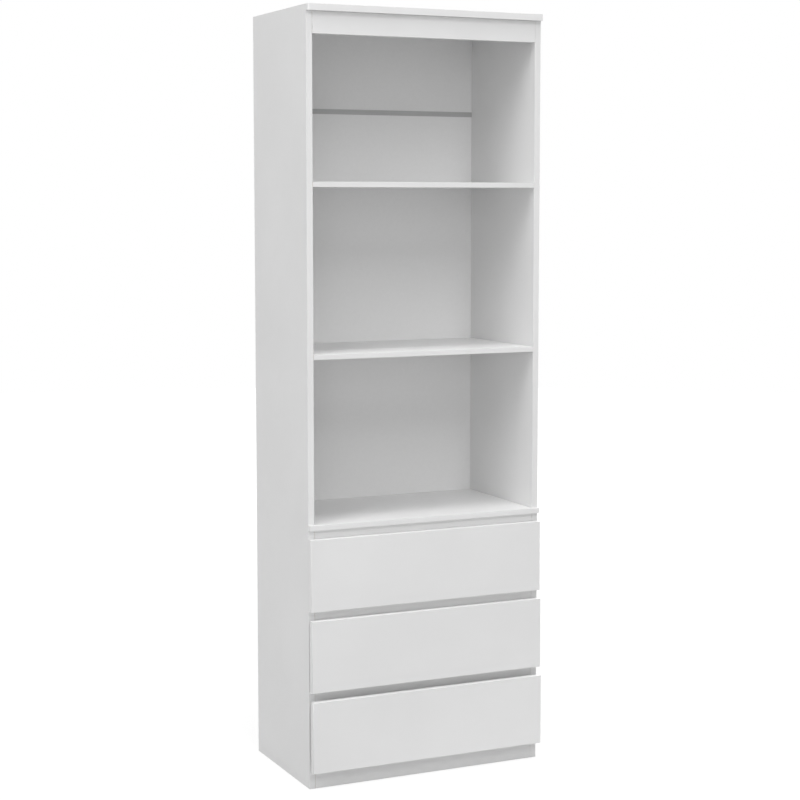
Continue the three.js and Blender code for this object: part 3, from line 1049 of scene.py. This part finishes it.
# %% [markdown]
# ## The floor's finish
# The bookcase stands on a plain pale floor in a white studio. The floor has two jobs: it sends light
# back up under the drawers, and it holds a shadow. A floor that only glows would hold none, and one
# that is only lit would end in a line against the background. So seen from the camera most of its
# brightness is its own, and the rest is lit and takes the shadow. Further out the lit share fades.

# %% A pale finish that holds the shadow
floor_tones = [(0.3, grey(0.81)), (0.7, grey(0.83))]
faint_gloss = 0.1
lit_share = 0.3
fade_start = 1.2
fade_stop = 3.5
own_glow = 1.2


def own_share(pale):
    """How much of what the camera sees is the floor's own glow: more of it with the distance."""
    distance = pale.add("ShaderNodeVectorMath")
    distance.operation = "LENGTH"
    pale.join(pale.place, distance.inputs[0])
    own = ranged(pale, distance.outputs["Value"], 1 - lit_share, 1, start=fade_start, stop=fade_stop)
    share = pale.add("ShaderNodeMath")
    share.operation = "MULTIPLY"
    pale.join(own, share.inputs[0])
    pale.join(seen_directly(pale.tree), share.inputs[1])
    return share.outputs["Value"]


def floor_finish():
    pale = Finish("pale_floor")
    screed = toned(pale, grain(pale, size=0.5, detail=4), floor_tones)
    pale.set(Base_Color=screed, Roughness=0.9, Specular_IOR_Level=faint_gloss)
    glow = pale.add("ShaderNodeEmission")
    glow.inputs["Strength"].default_value = own_glow
    mix = pale.add("ShaderNodeMixShader")
    pale.join(own_share(pale), mix.inputs["Fac"])
    pale.join(pale.shader.outputs["BSDF"], mix.inputs[1])
    pale.join(glow.outputs["Emission"], mix.inputs[2])
    pale.join(mix.outputs["Shader"], pale.tree.nodes["Material Output"].inputs["Surface"])
    return pale.material


floor_white = floor_finish()
print("made", floor_white.name)

# %% [markdown]
# ## Laying the floor
# A square floor shows its corners when you look down from high up. A round one, much wider than the
# bookcase is tall, has none, and its edge lies where the lit share has long faded.

# %% Lay the floor
floor_radius = 9.0
floor_corners = 96


def round_floor():
    disc = bmesh.new()
    bmesh.ops.create_circle(disc, cap_ends=True, radius=floor_radius, segments=floor_corners)
    mesh = as_mesh("studio_floor", disc)
    mesh.materials.append(floor_white)
    return add_object("studio_floor", mesh)


floor = round_floor()
print("floor, metres across:", 2 * floor_radius)

# %% [markdown]
# ## Sky
# A real studio's walls and ceiling send a little light from everywhere, so that no corner is black.
# Building that room would cost render time. The sky of the scene stands in for it: a weak white for
# all rays that light the piece, and pure white for those that see the backdrop.

# %% A weak white sky
sky_strength = 0.1
pure_white = (1, 1, 1, 1)


def studio_sky():
    world = bpy.data.worlds.new("studio")
    bpy.context.scene.world = world
    world.use_nodes = True
    tree = world.node_tree
    lit = tree.nodes["Background"]
    lit.inputs["Color"].default_value = pure_white
    lit.inputs["Strength"].default_value = sky_strength
    seen = tree.nodes.new("ShaderNodeBackground")
    seen.inputs["Color"].default_value = pure_white
    mix = tree.nodes.new("ShaderNodeMixShader")
    tree.links.new(seen_directly(tree), mix.inputs["Fac"])
    tree.links.new(lit.outputs["Background"], mix.inputs[1])
    tree.links.new(seen.outputs["Background"], mix.inputs[2])
    tree.links.new(mix.outputs["Shader"], tree.nodes["World Output"].inputs["Surface"])


studio_sky()
print("sky strength:", sky_strength)

# %% [markdown]
# ## Softboxes
# White furniture is hard to light: too much and its edges drown, too little and it turns grey. The
# photograph looks like a white studio, in which a softbox overhead brightens the front of each shelf
# and leaves its rear in shade, and others fill in from afar. Point lamps would draw hard shadows into
# the bays, so these are areas. Each aims at the middle of the bookcase. Two more stand behind and on
# the right, so that no side is left dull when you walk round.

# %% Hang the softboxes
softboxes = {
    # name: (place, width, height, watts)
    "left_high": ((-2.8, -1.6, 4.2), 2, 2, 54),
    "far_high": ((0, -5, 5), 2.4, 2.4, 103),
    "far_left": ((-9, -2, 2.5), 5, 5, 134),
    "behind": ((3, 5, 3), 4, 4, 140),
    "far_right": ((9, 2.5, 2.5), 5, 5, 145),
}


def softbox(name, place, width, height, watts):
    lamp = bpy.data.lights.new(name, "AREA")
    lamp.shape = "RECTANGLE"
    lamp.size = width
    lamp.size_y = height
    lamp.energy = watts
    box = add_object(name, lamp)
    box.location = place
    aim = (cad_low + cad_high) / 2 - box.location
    box.rotation_euler = aim.to_track_quat("-Z", "Y").to_euler()


for name, (place, box_width, box_height, watts) in softboxes.items():
    softbox(name, place, box_width, box_height, watts)
print("softboxes:", len(softboxes))

# %% [markdown]
# ## Bright walls
# In the photograph the light reaches deep into the bays, so broad light must also come from the front
# at eye height. A softbox for that would be huge and close by, and would light the near boards more
# than the far ones. A sun with a very wide angle gives the even light of a bright wall, whatever the
# distance.

# %% Switch on the bright walls
bright_walls = {
    # name: (degrees to the right, degrees up, spread in degrees, strength)
    "low_wall": (-20, 5, 30, 0.44),
    "left_wall": (-50, 45, 40, 0.3),
    "right_wall": (50, 50, 50, 0.2),
    "ceiling": (0, 78, 20, 1.105),
}


def bright_wall(name, right, up, spread, strength):
    lamp = bpy.data.lights.new(name, "SUN")
    lamp.angle = math.radians(spread)
    lamp.energy = strength
    wall = add_object(name, lamp)
    wall.rotation_euler = (quarter_turn - math.radians(up), 0, math.radians(right))


for name, (right, up, spread, strength) in bright_walls.items():
    bright_wall(name, right, up, spread, strength)
print("bright walls:", len(bright_walls))

# %% [markdown]
# ## Camera
# The photograph was taken from the left of the front, 4.4 m off, with a long lens and the camera at
# 1.36 m, so that it looks down on the deck and just under the upper shelf. A camera fitted to the
# photograph's edges gives its focal length in pixels, which the widths of picture and sensor turn
# into a lens. In the photograph the uprights stand parallel. A strong lens shift would do that too,
# but it would cut the top off every other view, so the camera tips down instead and shifts only a
# little.

# %% The photograph's camera
picture_width = 800
focal_pixels = 1837.6
sensor_width = 36
camera_place = (-1.8689, -4.0122, 1.3603)
turned_right = 0.4368
tipped_down = math.radians(5.67)
small_shift = -0.02

lens = bpy.data.cameras.new("photo_camera")
lens.sensor_width = sensor_width
lens.lens = focal_pixels / picture_width * sensor_width
lens.shift_y = small_shift
camera = add_object("photo_camera", lens)
camera.location = camera_place
camera.rotation_euler = (quarter_turn - tipped_down, 0, -turned_right)
bpy.context.scene.camera = camera
print("lens in mm:", round(lens.lens, 2), "turned by degrees:", round(math.degrees(turned_right), 1))

# %% [markdown]
# ## View
# Blender can bend tones as film does. Here the plain Standard view is used, so that a tone renders
# about as it is written and the whites can be compared with the photograph.

# %% A plain view
bpy.context.scene.view_settings.view_transform = "Standard"
print("view:", bpy.context.scene.view_settings.view_transform)
